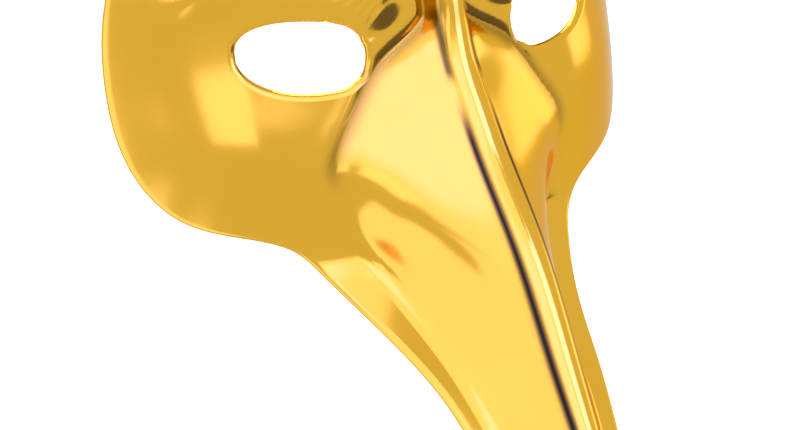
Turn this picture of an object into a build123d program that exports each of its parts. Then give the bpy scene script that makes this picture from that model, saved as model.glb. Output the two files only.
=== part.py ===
"""Long-beaked half mask: a thin moulded shell, foam pads, and a riveted elastic head strap.

Frame: origin at the wearer's nose bridge on the eye line, front of the face towards -Y, +Z up, and
+X to the wearer's left. Every depth below is a Y value in millimetres.
"""
from build123d import *
import os
import numpy as np

# ---- Driving dimensions (mm) ----
WALL = 1.4                      # shell thickness
CHEEK_BEND = 0.0038             # how fast the face curves back, square term
TEMPLE_BEND = 3.6e-7            # and the fourth-power term that turns the temples further
CHEEK_LIFT = 3.2                # how far the cheek bulges, where, and how wide and high the bulge is
CHEEK_X = 60.0
CHEEK_Z = -27.0
CHEEK_SPREAD = 26.0
CHEEK_RISE = 19.0
FULL_LIFT = 4.4                 # how far the beak's flanks stand out, where, and over what height
FULL_Z = -63.0
FULL_ABOVE = 18.0
FULL_BELOW = 36.0
CREST_SOFT = 2.4                # half width of the rounding along the crest
VALLEY_MARGIN = 5.0             # past the valley by this much, the beak's flank lets go of the face
VALLEY_RELEASE = 0.03

EYE_X = 43.7                    # eye opening: centre, half sizes and tilt
EYE_Z = 0.5
EYE_HALF_WIDTH = 18.8
EYE_HALF_HEIGHT = 12.0
EYE_TILT = 0.11
EYE_SQUARE = 0.85               # under 1 squares the oval's corners a little
EYE_POINTS = 40
CUT_REACH = 60.0                # how far the eye cutter runs in front of and behind the origin

RIVET_X = 79.0                  # strap rivets, on the temples
RIVET_Z = 31.0
RIVET_SHANK_R = 2.0
RIVET_HEAD_R = 4.5
RIVET_HEAD_H = 1.6
RIVET_HOLE_R = 2.1
WASHER_R = 4.0
WASHER_T = 0.5
CLINCH_R = 3.2
CLINCH_T = 0.7
FIT = 0.1                       # clearance between stacked pieces
SEAT = 0.6                      # underside of the rivet head over the skin, which slopes under it
CLINCH_REACH = 6.0              # half length of the drill for rivet holes

STRAP_WIDTH = 12.0
STRAP_T = 1.2
TAB_SEAT = 2.7                  # tab's outer face under the shell's outer skin, at the rivet
TAB_BACK = 7.0                  # tab length from the rivet to its bend
TAB_HEEL = 7.0                  # tab length on the other side of the rivet
TAB_BEND_R = 5.0
TAB_TAIL = 6.0                  # how far the tab runs on behind the pivot
PIVOT_Y = 57.0                  # where the band starts to swing
HEAD_BACK = 187.0               # depth of the strap at the back of the head
HEAD_TURN = 128.0               # depth where the strap leaves its straight run
LAP_GAP = 0.35                  # gap between the tab's tail and the band
STACK = TAB_SEAT + STRAP_T + WASHER_T + 2 * FIT     # clinch face under the outer skin

SLIDER_Y = 92.0
SLIDER_LENGTH = 14.0            # along the strap
SLIDER_BAR = 2.4
SLIDER_T = 1.2
SLIDER_GAP = 0.3
SLIDER_ROUND = 0.8

PAD_T = 4.0
PAD_GAP = 0.15
PAD_ROWS = 12
FOREHEAD_PAD_ROWS = (0.35, 1.5)     # stations along RIM
FOREHEAD_PAD_EDGE = (-0.62, 0.62)   # shares of the half width
CHEEK_PAD_ROWS = (5.7, 7.4)
CHEEK_PAD_EDGE = (0.6, 0.85)        # before the columns crowd towards the crest

# Height against depth of the crest line, from forehead to tip. Above the brows it sinks under the face.
CREST = [(66, 30), (50, 13), (36, -1.5), (24, -6.8), (13, -8.4), (3, -9.1), (-6, -11), (-16, -16), (-30, -23.5),
         (-46, -34), (-60, -43), (-74, -50), (-92, -57.5), (-110, -65.2), (-140, -77), (-170, -87.5), (-200, -97)]
# Height against depth of the face and the beak's side flange, on the centre plane.
FACE = [(66, 13), (54, 7.5), (40, 3.5), (25, 1.2), (10, 1), (-20, 1), (-45, 1.2), (-54, 2.4), (-61, 3.8),
        (-67, 2.8), (-73, -0.8), (-80, -6.6), (-90, -17), (-100, -28), (-112, -38), (-126, -47.5), (-142, -59),
        (-160, -71.5), (-180, -84.5), (-200, -96)]
# Height against half width of the beak's raised part, between the valleys either side of it.
VALLEY = [(66, 22), (40, 13), (24, 8), (13, 5), (7, 5), (3, 10), (-4, 20.5), (-10, 26.5), (-20, 33), (-28, 38),
          (-35, 40.5), (-42, 39), (-52, 34), (-62, 29), (-76, 24), (-90, 20.5), (-112, 16.5), (-140, 12.5),
          (-170, 8), (-200, 2)]
# Height against the radius-like width of the blend between the raised part and the face.
BLEND = [(66, 8), (30, 7), (8, 3.5), (-4, 3.5), (-14, 4.5), (-34, 6), (-50, 8), (-70, 10), (-100, 9.5), (-140, 7),
         (-200, 2)]
# Outline of the free edge, from the forehead corner round the cheek to the tip, as (x, z), and the
# height on the centre line that each point's row of the surface starts from.
RIM = [(73, 51, 64), (82, 40, 54), (87.5, 25, 38), (90, 8, 20), (90.5, -8, 5), (89.8, -22, -10), (87, -35, -26),
       (81.5, -45, -41), (74, -50.5, -52), (64, -53.7, -61), (54, -57.6, -70), (46, -64.5, -79), (38.4, -76, -90),
       (32, -88, -101), (27.6, -100, -112), (24.5, -114, -125), (21, -131, -141), (16.5, -150, -158),
       (11, -171, -176), (6.5, -186, -189), (2.5, -196, -199)]

BROW_LIFT = 3.0                 # how far the brow ridge stands out
BROW_START = 14.0               # its inner and outer ends
BROW_END = 80.0
BROW_HALF = 5.5                 # half its height

ROWS = 64                       # sample grid of the shell surfaces
COLUMNS = 61
CROWD = 1.4                     # how much closer the columns stand at the crest than at the edge


def through(stations):
    """Natural cubic spline through (height, value) stations, as a function of height."""
    at, value = np.array(sorted(stations), dtype=float).T
    step = np.diff(at)
    system = np.eye(len(at))
    load = np.zeros(len(at))
    for i in range(1, len(at) - 1):
        system[i, i - 1:i + 2] = step[i - 1], 2 * (step[i - 1] + step[i]), step[i]
        load[i] = 6 * ((value[i + 1] - value[i]) / step[i] - (value[i] - value[i - 1]) / step[i - 1])
    bend = np.linalg.solve(system, load)

    def curve(height):
        height = np.clip(height, at[0], at[-1])
        i = np.clip(np.searchsorted(at, height) - 1, 0, len(step) - 1)
        before = height - at[i]
        after = at[i + 1] - height
        h = step[i]
        return ((bend[i] * after ** 3 + bend[i + 1] * before ** 3) / (6 * h)
                + (value[i] / h - bend[i] * h / 6) * after + (value[i + 1] / h - bend[i + 1] * h / 6) * before)

    return curve


crest_depth = through(CREST)
face_depth = through(FACE)
valley_half = through(VALLEY)
blend_width = through(BLEND)


def soft_min(a, b, width):
    """The lesser of two depths, rounded where they are closer than width."""
    near = np.clip(width - np.abs(a - b), 0, None) / width
    return np.minimum(a, b) - near * near * width / 4


def flank(x, z):
    """Depth of the face itself: its centre depth plus the bend towards the temples, less the cheek's bulge."""
    across = (np.abs(x) - CHEEK_X) / CHEEK_SPREAD
    bulge = CHEEK_LIFT * np.exp(-across ** 2 - ((z - CHEEK_Z) / CHEEK_RISE) ** 2)
    return face_depth(z) + CHEEK_BEND * x ** 2 + TEMPLE_BEND * x ** 4 - bulge


def brow(x, z):
    """Lift of the brow ridge, which arches over the eye and fades at both ends."""
    along = (np.abs(x) - BROW_START) / (BROW_END - BROW_START)
    middle = 17 + 15 * np.sin(np.pi * np.clip(along, 0, 1) ** 0.8)
    fade = np.clip(np.minimum(along, 1 - along) * 5, 0, 1)
    return BROW_LIFT * fade * fade * (3 - 2 * fade) * np.exp(-((z - middle) / BROW_HALF) ** 2)


def fullness(share, z):
    """How far the beak's flank stands out: half a sine wave across it, and a bell over the height."""
    spread = np.where(z > FULL_Z, FULL_ABOVE, FULL_BELOW)
    return FULL_LIFT * np.sin(np.pi * np.clip(share, 0, 1)) * np.exp(-((z - FULL_Z) / spread) ** 2)


def shell_depth(x, z):
    """Depth of the shell's outer skin: the nearer of the face and the beak's two flanks, blended."""
    z = np.asarray(z, dtype=float)
    half = valley_half(z)
    rise = np.maximum((flank(half, z) - crest_depth(z)) / half, 0.2)
    beyond = np.clip(np.abs(x) - half - VALLEY_MARGIN, 0, None)
    slope = rise * (np.sqrt(x ** 2 + CREST_SOFT ** 2) - CREST_SOFT)
    raised = crest_depth(z) + slope + VALLEY_RELEASE * beyond ** 2 - fullness(np.abs(x) / half, z)
    return soft_min(flank(x, z) - brow(x, z), raised, blend_width(z))


def shell_normal(x, z, step=0.2):
    """Unit normal of the outer skin, pointing out of the face."""
    across = (shell_depth(x + step, z) - shell_depth(x - step, z)) / (2 * step)
    up = (shell_depth(x, z + step) - shell_depth(x, z - step)) / (2 * step)
    normal = np.stack([across, -np.ones_like(across), up], axis=-1)
    return normal / np.linalg.norm(normal, axis=-1, keepdims=True)


def skin_grid(offset, rows, edge):
    """Points of the skin moved inwards by offset: rows run across from edge to edge of the mask.

    rows is a run of stations along RIM, and edge a pair of shares of the half width, -1 to 1.
    """
    knots = np.arange(len(RIM))
    rim_x = through([(k, RIM[k][0]) for k in knots])
    rim_z = through([(k, RIM[k][1]) for k in knots])
    centre_z = through([(k, RIM[k][2]) for k in knots])
    t = np.asarray(rows, dtype=float)[:, None]
    s = np.linspace(edge[0], edge[1], COLUMNS)[None, :]
    s = np.sign(s) * np.abs(s) ** CROWD
    x = rim_x(t) * s
    z = centre_z(t) + (rim_z(t) - centre_z(t)) * s ** 2
    normal = shell_normal(x, z)
    skin = np.stack([x, shell_depth(x, z), z], axis=-1)
    straight = np.zeros_like(skin)
    straight[..., 1] = -1 / normal[..., 1]
    near_rim = np.clip(s ** 2 * 2 - 0.5, 0, 1)[..., None]
    return skin + offset * (near_rim * -normal + (1 - near_rim) * straight)


def lofted(grid):
    """One smooth face through a grid of points."""
    stops = [k / (grid.shape[1] - 1) for k in range(grid.shape[1])]
    wires = [Wire([Edge.make_spline([Vector(*point) for point in row], parameters=stops)]) for row in grid.tolist()]
    return Shell.make_loft(wires).faces()[0]


def slab(outer, inner):
    """Closed solid between two grids of points that match row for row."""
    front = lofted(outer)
    back = lofted(inner)
    sides = []
    for edge in front.edges():
        middle = edge.position_at(0.5)
        partner = min(back.edges(), key=lambda other: (other.position_at(0.5) - middle).length)
        sides.append(Face.make_surface_from_curves(edge, partner))
    return Solid(Shell([front, back] + sides)).fix()


def eye_cutter(side):
    """Prism through one almond eye opening; its outline is a rounded rectangle-like oval, tilted."""
    turn = np.linspace(0, 2 * np.pi, EYE_POINTS, endpoint=False)
    wide = EYE_HALF_WIDTH * np.sign(np.cos(turn)) * np.abs(np.cos(turn)) ** EYE_SQUARE
    high = EYE_HALF_HEIGHT * np.sign(np.sin(turn)) * np.abs(np.sin(turn)) ** EYE_SQUARE
    points = [(side * (EYE_X + w), -CUT_REACH, EYE_Z + EYE_TILT * w + h) for w, h in zip(wide, high)]
    outline = Face(Wire([Edge.make_spline([Vector(*p) for p in points], periodic=True)]))
    return Solid.extrude(outline, Vector(0, 2 * CUT_REACH, 0))


def rivet_plane(side):
    """Plane at one rivet: its normal points out of the face, its x direction runs back along the temple."""
    x = np.array(side * RIVET_X)
    z = np.array(RIVET_Z)
    origin = Vector(float(x), float(shell_depth(x, z)), float(z))
    normal = Vector(*shell_normal(x, z).tolist())
    flat = Vector(normal.X, normal.Y, 0).normalized()
    back = Vector(-side * flat.Y, side * flat.X, 0)
    return Plane(origin=origin, x_dir=back, z_dir=flat)


def disc(plane, radius, low, high):
    """Cylinder about a plane's normal, from one height over the plane to another."""
    return plane * Pos(0, 0, (low + high) / 2) * Cylinder(radius, high - low)


def mask_shell():
    """Shell with its eye openings and the two rivet holes."""
    rows = np.linspace(0, len(RIM) - 1, ROWS)
    shell = slab(skin_grid(0.0, rows, (-1, 1)), skin_grid(WALL, rows, (-1, 1)))
    for side in (-1, 1):
        shell = shell - eye_cutter(side) - disc(rivet_plane(side), RIVET_HOLE_R, -CLINCH_REACH, CLINCH_REACH)
    return shell


def rivet(side):
    """Domed rivet: head outside the shell, shank through the shell, tab and washer, clinch inside."""
    plane = rivet_plane(side)
    dome_r = (RIVET_HEAD_R ** 2 + RIVET_HEAD_H ** 2) / (2 * RIVET_HEAD_H)
    ball = plane * Pos(0, 0, SEAT + RIVET_HEAD_H - dome_r) * Sphere(dome_r)
    head = ball & disc(plane, RIVET_HEAD_R, SEAT, SEAT + RIVET_HEAD_H)
    shank = disc(plane, RIVET_SHANK_R, -STACK - CLINCH_T, SEAT)
    return head + shank + disc(plane, CLINCH_R, -STACK - CLINCH_T, -STACK)


def washer(side):
    """Flat washer between the strap tab and the rivet's clinch."""
    plane = rivet_plane(side)
    top = -STACK + FIT + WASHER_T
    return disc(plane, WASHER_R, -STACK + FIT, top) - disc(plane, RIVET_HOLE_R, -STACK, top + FIT)


def tab_line(side):
    """The tab's centre line seen from above: flat on the temple, one bend, then straight back."""
    plane = rivet_plane(side)
    start = plane.origin - plane.z_dir * (TAB_SEAT + STRAP_T / 2)
    corner = start + plane.x_dir * TAB_BACK
    points = [start - plane.x_dir * TAB_HEEL, corner, Vector(corner.X, PIVOT_Y + TAB_TAIL, corner.Z)]
    return FilletPolyline(*[(p.X, p.Y) for p in points], radius=TAB_BEND_R)


def band_half():
    """Half the width of the band's loop: it lies against the inner side of the tabs' tails."""
    tail = tab_line(1) @ 1
    return tail.X - STRAP_T - LAP_GAP


def strap_tab(side):
    """Riveted end of the strap, with its hole."""
    flat = trace(tab_line(side), line_width=STRAP_T)
    tab = Pos(0, 0, RIVET_Z - STRAP_WIDTH / 2) * extrude(flat, amount=STRAP_WIDTH)
    return tab - disc(rivet_plane(side), RIVET_HOLE_R, -CLINCH_REACH, CLINCH_REACH)


def band_outline(grow):
    """Plan view of the band's loop, grown sideways: straight runs and a half ellipse round the head."""
    half = band_half() + grow
    start = PIVOT_Y - STRAP_WIDTH / 2
    turn = EllipticalCenterArc((0, HEAD_TURN), half, HEAD_BACK - HEAD_TURN + grow, 0, arc_size=180)
    runs = Line((half, start), (half, HEAD_TURN)), Line((-half, HEAD_TURN), (-half, start))
    return make_face([runs[0], turn, runs[1], Line((-half, start), (half, start))])


def strap_band():
    """Elastic loop from one tab round the back of the head to the other."""
    flat = band_outline(STRAP_T / 2) - band_outline(-STRAP_T / 2)
    return Pos(0, 0, RIVET_Z - STRAP_WIDTH / 2) * extrude(flat, amount=STRAP_WIDTH)


def strap_slider():
    """Three-bar adjuster on the left run: end bars inside the band, middle bar outside it."""
    centre = Pos(band_half(), SLIDER_Y, RIVET_Z)
    out = (STRAP_T + SLIDER_T) / 2 + SLIDER_GAP
    rail_z = STRAP_WIDTH / 2 + SLIDER_GAP + SLIDER_BAR / 2
    tall = 2 * rail_z
    pieces = [Pos(out, 0, 0) * Box(SLIDER_T, SLIDER_BAR, tall)]
    for end in (-1, 1):
        pieces.append(Pos(-out, end * (SLIDER_LENGTH - SLIDER_BAR) / 2, 0) * Box(SLIDER_T, SLIDER_BAR, tall))
        rail = Pos(0, 0, end * rail_z) * Box(2 * out + SLIDER_T, SLIDER_LENGTH, SLIDER_BAR)
        pieces.append(fillet(rail.edges().filter_by(Axis.Z), SLIDER_ROUND))
    slider = pieces[0]
    for piece in pieces[1:]:
        slider = slider + piece
    return centre * slider


def pad(rows, edge):
    """Foam pad that lies along the inside of the shell, just clear of it."""
    rows = np.linspace(rows[0], rows[1], PAD_ROWS)
    seat = WALL + PAD_GAP
    return slab(skin_grid(seat, rows, edge), skin_grid(seat + PAD_T, rows, edge))


def pieces():
    """Every node's name with its solid."""
    low, high = CHEEK_PAD_EDGE
    made = {
        "mask_shell": mask_shell(),
        "forehead_pad": pad(FOREHEAD_PAD_ROWS, FOREHEAD_PAD_EDGE),
        "cheek_pad_left": pad(CHEEK_PAD_ROWS, (low, high)),
        "cheek_pad_right": pad(CHEEK_PAD_ROWS, (-high, -low)),
        "strap_band": strap_band(),
        "strap_slider": strap_slider(),
    }
    for name, side in (("left", 1), ("right", -1)):
        made["rivet_" + name] = rivet(side)
        made["washer_" + name] = washer(side)
        made["strap_tab_" + name] = strap_tab(side)
    return made


if __name__ == "__main__":
    os.makedirs("parts", exist_ok=True)
    for node, solid in pieces().items():
        export_step(solid, "parts/" + node + ".step")
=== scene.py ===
"""Dressed model of a long-beaked, gold-metallised half mask with its elastic head strap.

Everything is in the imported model's frame: origin at the wearer's nose bridge on the eye line, front
of the face towards -Y, +Z up. Shapes are worked out in millimetres and turned to metres when a mesh
is made.
"""

import logging
import math
from dataclasses import dataclass, field
from enum import Enum

import bpy
import numpy as np
from mathutils import Matrix, Vector


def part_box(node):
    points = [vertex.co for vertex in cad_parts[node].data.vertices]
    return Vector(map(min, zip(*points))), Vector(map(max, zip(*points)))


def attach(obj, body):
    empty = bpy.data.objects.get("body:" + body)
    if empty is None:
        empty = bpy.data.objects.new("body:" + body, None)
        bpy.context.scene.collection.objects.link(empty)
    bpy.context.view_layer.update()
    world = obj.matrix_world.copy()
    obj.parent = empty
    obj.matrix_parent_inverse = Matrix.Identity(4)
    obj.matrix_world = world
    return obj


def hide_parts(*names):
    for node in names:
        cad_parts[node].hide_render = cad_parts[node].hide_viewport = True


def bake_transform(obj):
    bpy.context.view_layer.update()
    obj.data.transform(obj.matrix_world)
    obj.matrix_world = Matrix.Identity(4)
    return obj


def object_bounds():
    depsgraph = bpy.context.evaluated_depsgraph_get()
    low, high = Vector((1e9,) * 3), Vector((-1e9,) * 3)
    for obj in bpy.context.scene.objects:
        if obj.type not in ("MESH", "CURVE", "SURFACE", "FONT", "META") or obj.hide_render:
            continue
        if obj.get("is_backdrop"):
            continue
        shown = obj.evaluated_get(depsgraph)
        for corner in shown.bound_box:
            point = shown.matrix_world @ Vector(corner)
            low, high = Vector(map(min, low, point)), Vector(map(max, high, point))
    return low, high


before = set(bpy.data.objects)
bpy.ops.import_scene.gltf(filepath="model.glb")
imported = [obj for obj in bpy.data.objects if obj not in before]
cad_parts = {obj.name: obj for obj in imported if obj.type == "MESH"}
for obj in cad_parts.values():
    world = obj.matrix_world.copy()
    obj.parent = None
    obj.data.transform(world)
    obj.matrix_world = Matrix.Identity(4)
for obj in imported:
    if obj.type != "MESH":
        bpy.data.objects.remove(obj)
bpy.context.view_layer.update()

MM = 0.001
LOG = logging.getLogger("mask")


class Side(Enum):
    """The wearer's two sides, by the sign of X."""

    LEFT = 1
    RIGHT = -1


# ---- Curves and grids -------------------------------------------------------------------------


class StationCurve:
    """Natural cubic spline through (station, value) pairs.

    The second derivatives come from the usual tridiagonal system with both ends straight; between
    two stations the value is the cubic that has those second derivatives.
    """

    def __init__(self, stations: list[tuple[float, float]]) -> None:
        """Solve for the second derivatives.

        Args:
            stations: Pairs of station and value, in any order.
        """
        self.at, self.value = np.array(sorted(stations), dtype=float).T
        self.step = np.diff(self.at)
        count = len(self.at)
        inner = np.arange(1, count - 1)
        system = np.eye(count)
        system[inner, inner - 1] = self.step[:-1]
        system[inner, inner] = 2 * (self.step[:-1] + self.step[1:])
        system[inner, inner + 1] = self.step[1:]
        rate = np.diff(self.value) / self.step
        load = np.zeros(count)
        load[1:-1] = 6 * np.diff(rate)
        self.bend = np.linalg.solve(system, load)

    def __call__(self, station: np.ndarray) -> np.ndarray:
        """Values at the given stations, which are held to the spline's ends.

        Args:
            station: Any array of stations.

        Returns:
            An array of the same shape.
        """
        station = np.clip(station, self.at[0], self.at[-1])
        i = np.clip(np.searchsorted(self.at, station) - 1, 0, len(self.step) - 1)
        before = station - self.at[i]
        after = self.at[i + 1] - station
        h = self.step[i]
        cubic = (self.bend[i] * after ** 3 + self.bend[i + 1] * before ** 3) / (6 * h)
        low = (self.value[i] / h - self.bend[i] * h / 6) * after
        high = (self.value[i + 1] / h - self.bend[i + 1] * h / 6) * before
        return cubic + low + high


def ease(value: np.ndarray) -> np.ndarray:
    """Smooth step of a value held between 0 and 1: three squares less two cubes."""
    held = np.clip(value, 0, 1)
    return held * held * (3 - 2 * held)


def soft_min(a: np.ndarray, b: np.ndarray, width: np.ndarray) -> np.ndarray:
    """The lesser of two arrays, less a quarter of the squared overlap where they are within width."""
    near = np.clip(width - np.abs(a - b), 0, None) / width
    return np.minimum(a, b) - near * near * width / 4


def unit(vectors: np.ndarray) -> np.ndarray:
    """Vectors along the last axis, each divided by its length."""
    return vectors / np.maximum(np.linalg.norm(vectors, axis=-1, keepdims=True), 1e-12)


def stretches(stops: list[float], counts: list[int]) -> np.ndarray:
    """Values that run from stop to stop, with the given number of even steps in each stretch.

    Args:
        stops: Ends of the stretches, one more than counts.
        counts: Steps in each stretch.

    Returns:
        One rising array that holds every stop once.
    """
    runs = [np.linspace(a, b, n, endpoint=False) for a, b, n in zip(stops, stops[1:], counts)]
    return np.concatenate(runs + [np.array(stops[-1:])])


@dataclass
class Patch:
    """Points in millimetres, with the quads that join them and a material slot for each quad."""

    points: np.ndarray
    quads: np.ndarray
    slot: np.ndarray

    @staticmethod
    def from_grid(grid: np.ndarray, slot: int = 0, closed: bool = False, flip: bool = False) -> "Patch":
        """Quads over a grid of points, each joining a cell's four corners.

        Args:
            grid: Array of rows by columns by 3.
            slot: Material slot of the quads.
            closed: Whether the last column joins the first.
            flip: Whether to turn the quads over.

        Returns:
            The patch.
        """
        rows, columns = grid.shape[:2]
        across = columns if closed else columns - 1
        j, i = np.meshgrid(np.arange(rows - 1), np.arange(across), indexing="ij")
        k = (i + 1) % columns
        quads = np.stack([j * columns + i, j * columns + k, (j + 1) * columns + k, (j + 1) * columns + i], -1)
        quads = quads.reshape(-1, 4)
        if flip:
            quads = quads[:, ::-1]
        return Patch(grid.reshape(-1, 3), quads, np.full(len(quads), slot))

    def mirrored(self) -> "Patch":
        """The patch on the other side of the YZ plane, its quads turned so that they still face out."""
        return Patch(self.points * np.array([-1.0, 1.0, 1.0]), self.quads[:, ::-1], self.slot)


def weld(patches: list[Patch], tolerance: float = 1e-4) -> Patch:
    """One patch from several, with points closer than tolerance made one.

    Args:
        patches: Patches to join.
        tolerance: Distance in millimetres to which places are rounded when they are compared.

    Returns:
        The joined patch, without quads that have lost a side.
    """
    points = np.concatenate([patch.points for patch in patches])
    starts = np.cumsum([0] + [len(patch.points) for patch in patches[:-1]])
    quads = np.concatenate([patch.quads + start for patch, start in zip(patches, starts)])
    slot = np.concatenate([patch.slot for patch in patches])
    key = np.round(points / tolerance).astype(np.int64)
    _, first, inverse = np.unique(key, axis=0, return_index=True, return_inverse=True)
    quads = inverse.reshape(-1)[quads]
    whole = np.array([len(set(quad)) == 4 for quad in quads.tolist()])
    return Patch(points[first], quads[whole], slot[whole])


def make_piece(name: str, patch: Patch, materials: list[bpy.types.Material]) -> bpy.types.Object:
    """A smooth-shaded object from a patch, in metres, with its materials in its slots.

    Args:
        name: The piece's name.
        patch: Its surface.
        materials: One material for each slot that the patch uses.

    Returns:
        The object, linked to the scene.
    """
    mesh = bpy.data.meshes.new(name)
    mesh.from_pydata((patch.points * MM).tolist(), [], patch.quads.tolist())
    mesh.polygons.foreach_set("use_smooth", np.ones(len(mesh.polygons), dtype=bool))
    mesh.polygons.foreach_set("material_index", patch.slot.astype(np.int32))
    for material in materials:
        mesh.materials.append(material)
    mesh.update()
    piece = bpy.data.objects.new(name, mesh)
    bpy.context.scene.collection.objects.link(piece)
    LOG.info("%s: %d points, %d quads", name, len(patch.points), len(patch.quads))
    return piece


# ---- The shell's form -------------------------------------------------------------------------


@dataclass(frozen=True)
class MaskForm:
    """Depth of the mask's outer skin, as a function of distance from the middle and height, in mm.

    The skin is the nearer of two surfaces, blended where they meet: the face, which bends back
    towards the temples, and the beak, whose flanks rise to a rounded crest.
    """

    cheek_bend: float = 0.0038
    temple_bend: float = 3.6e-7
    valley_margin: float = 5.0
    valley_release: float = 0.03
    crest_round: float = 1.07
    crease_round: float = 0.35
    cheek_lift: float = 3.2
    cheek_x: float = 60.0
    cheek_z: float = -27.0
    cheek_spread: float = 26.0
    cheek_rise: float = 19.0
    full_lift: float = 4.4
    full_z: float = -63.0
    full_above: float = 18.0
    full_below: float = 36.0
    groove_deep: float = 1.1
    groove_half: float = 2.0
    # Heights over which the groove fades in from the cheek and out over the brows.
    groove_foot: tuple[float, float] = (-44.0, -30.0)
    groove_top: tuple[float, float] = (12.0, 24.0)
    # Share of painted shade, a darkening of the gold's colour, in the groove beside the nose.
    groove_painted_shade: float = 0.5
    # Half width of the painted shade along each of the crest's creases, and how far out from the crest's edge
    # it lies.
    line_half: float = 0.95
    line_out: float = 0.2
    # Heights over which the crest's dark line, painted shade along its creases, fades in, the share of it
    # beside the nose's root, and the heights over which it fades out towards the tip.
    line_start: tuple[float, float] = (-28.0, -14.0)
    line_root_share: float = 0.85
    line_tip: tuple[float, float] = (-199.0, -187.0)
    brow_lift: float = 3.0
    brow_start: float = 14.0
    brow_end: float = 80.0
    brow_half: float = 5.5
    # Height of the brow's ends, the rise of its arch, and under 1 leans the arch inwards.
    brow_ends: float = 17.0
    brow_arch: float = 15.0
    brow_lean: float = 0.8
    # Frown at the inner end of the eye: its middle, size, and how much wider than high it is.
    knot_x: float = 25.0
    knot_z: float = 14.5
    knot_radius: float = 10.0
    knot_stretch: float = 1.25
    knot_lift: float = 1.2
    knot_steep: float = 1.6
    crease_deep: float = 0.55
    crease_half: float = 0.75
    crease_reach: float = 14.0
    crease_fade: float = 8.0
    wrinkle_pitch: float = 3.1
    wrinkle_height: float = 0.07
    # Share of each direction that the wrinkles run across, which slants them.
    wrinkle_across: tuple[float, float] = (0.62, 0.78)
    # Height against depth of the crest; above the brows it sinks under the face.
    crest: StationCurve = field(default_factory=lambda: StationCurve([
        (66, 30), (50, 13), (36, -1.5), (24, -6.8), (13, -8.4), (3, -9.1), (-6, -11), (-16, -16),
        (-30, -23.5), (-46, -34), (-60, -43), (-74, -50), (-92, -57.5), (-110, -65.2), (-140, -77),
        (-170, -87.5), (-200, -97)]))
    # Height against depth of the face and the beak's side flange, on the centre plane.
    face: StationCurve = field(default_factory=lambda: StationCurve([
        (66, 13), (54, 7.5), (40, 3.5), (25, 1.2), (10, 1), (-20, 1), (-45, 1.2), (-54, 2.4), (-61, 3.8),
        (-67, 2.8), (-73, -0.8), (-80, -6.6), (-90, -17), (-100, -28), (-112, -38), (-126, -47.5),
        (-142, -59), (-160, -71.5), (-180, -84.5), (-200, -96)]))
    # Height against the distance from the middle to the valley beside the beak's raised part.
    valley: StationCurve = field(default_factory=lambda: StationCurve([
        (66, 22), (40, 13), (24, 8), (13, 5.5), (7, 6), (3, 10), (-4, 20.5), (-10, 26.5), (-20, 33),
        (-28, 38), (-35, 40.5), (-42, 39), (-52, 34), (-62, 29), (-76, 24), (-90, 20.5), (-112, 16.5),
        (-140, 12.5), (-170, 8), (-200, 2.5)]))
    # Height against half the width of the rounded crest.
    crest_width: StationCurve = field(default_factory=lambda: StationCurve([
        (66, 5), (-20, 5), (-60, 5), (-90, 4.6), (-112, 3.9), (-140, 3), (-170, 2), (-200, 0.8)]))
    # Height against the width of the blend between the two surfaces.
    blend: StationCurve = field(default_factory=lambda: StationCurve([
        (66, 8), (30, 7), (8, 3), (-4, 3), (-14, 4), (-34, 5.5), (-50, 7.5), (-70, 9.5), (-100, 9),
        (-140, 7), (-200, 2)]))

    def flank(self, x: np.ndarray, z: np.ndarray) -> np.ndarray:
        """The face's depth: its centre depth, plus a square and a fourth-power bend with distance.

        The cheek stands out by a bell over distance and height.
        """
        across = (np.abs(x) - self.cheek_x) / self.cheek_spread
        bell = np.exp(-across ** 2 - ((z - self.cheek_z) / self.cheek_rise) ** 2)
        return self.face(z) + self.cheek_bend * x ** 2 + self.temple_bend * x ** 4 - self.cheek_lift * bell

    def raised(self, x: np.ndarray, z: np.ndarray) -> np.ndarray:
        """The beak's depth: an arc over the crest's width, and a straight flank from its edge.

        The arc's radius is a little over the crest's half width, so that it is steeper than the
        flank where they meet, which leaves a crease along each side of the crest.
        """
        edge = self.crest_width(z)
        radius = edge * self.crest_round
        away = np.abs(x)
        arc = radius - np.sqrt(np.maximum(radius ** 2 - np.minimum(away, edge) ** 2, 0))
        foot = radius - np.sqrt(radius ** 2 - edge ** 2)
        half = self.valley(z)
        rise = np.maximum((self.flank(half, z) - self.crest(z) - foot) / np.maximum(half - edge, 1), 0.2)
        beyond = np.clip(away - half - self.valley_margin, 0, None)
        past = np.clip(away - edge, 0, None)
        straight = rise * (np.sqrt(past ** 2 + self.crease_round ** 2) - self.crease_round * np.exp(-past))
        flare = self.valley_release * beyond ** 2
        depth = self.crest(z) + arc + np.where(away > edge, straight, 0) + flare
        return depth - self.fullness(past / (half - edge), z)

    def fullness(self, share: np.ndarray, z: np.ndarray) -> np.ndarray:
        """How far the beak's flank stands out: half a sine wave across it, and a bell over height.

        The bell falls off faster above its middle than below it.
        """
        off = z - self.full_z
        spread = np.where(off > 0, self.full_above, self.full_below)
        return self.full_lift * np.sin(np.pi * np.clip(share, 0, 1)) * np.exp(-(off / spread) ** 2)

    def brow(self, x: np.ndarray, z: np.ndarray) -> np.ndarray:
        """Lift of the brow ridge: a bell across an arch over the eye, faded at both ends."""
        along = (np.abs(x) - self.brow_start) / (self.brow_end - self.brow_start)
        middle = self.brow_ends + self.brow_arch * np.sin(np.pi * np.clip(along, 0, 1) ** self.brow_lean)
        fade = ease(np.minimum(along, 1 - along) * 5)
        return self.brow_lift * fade * np.exp(-((z - middle) / self.brow_half) ** 2)

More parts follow.
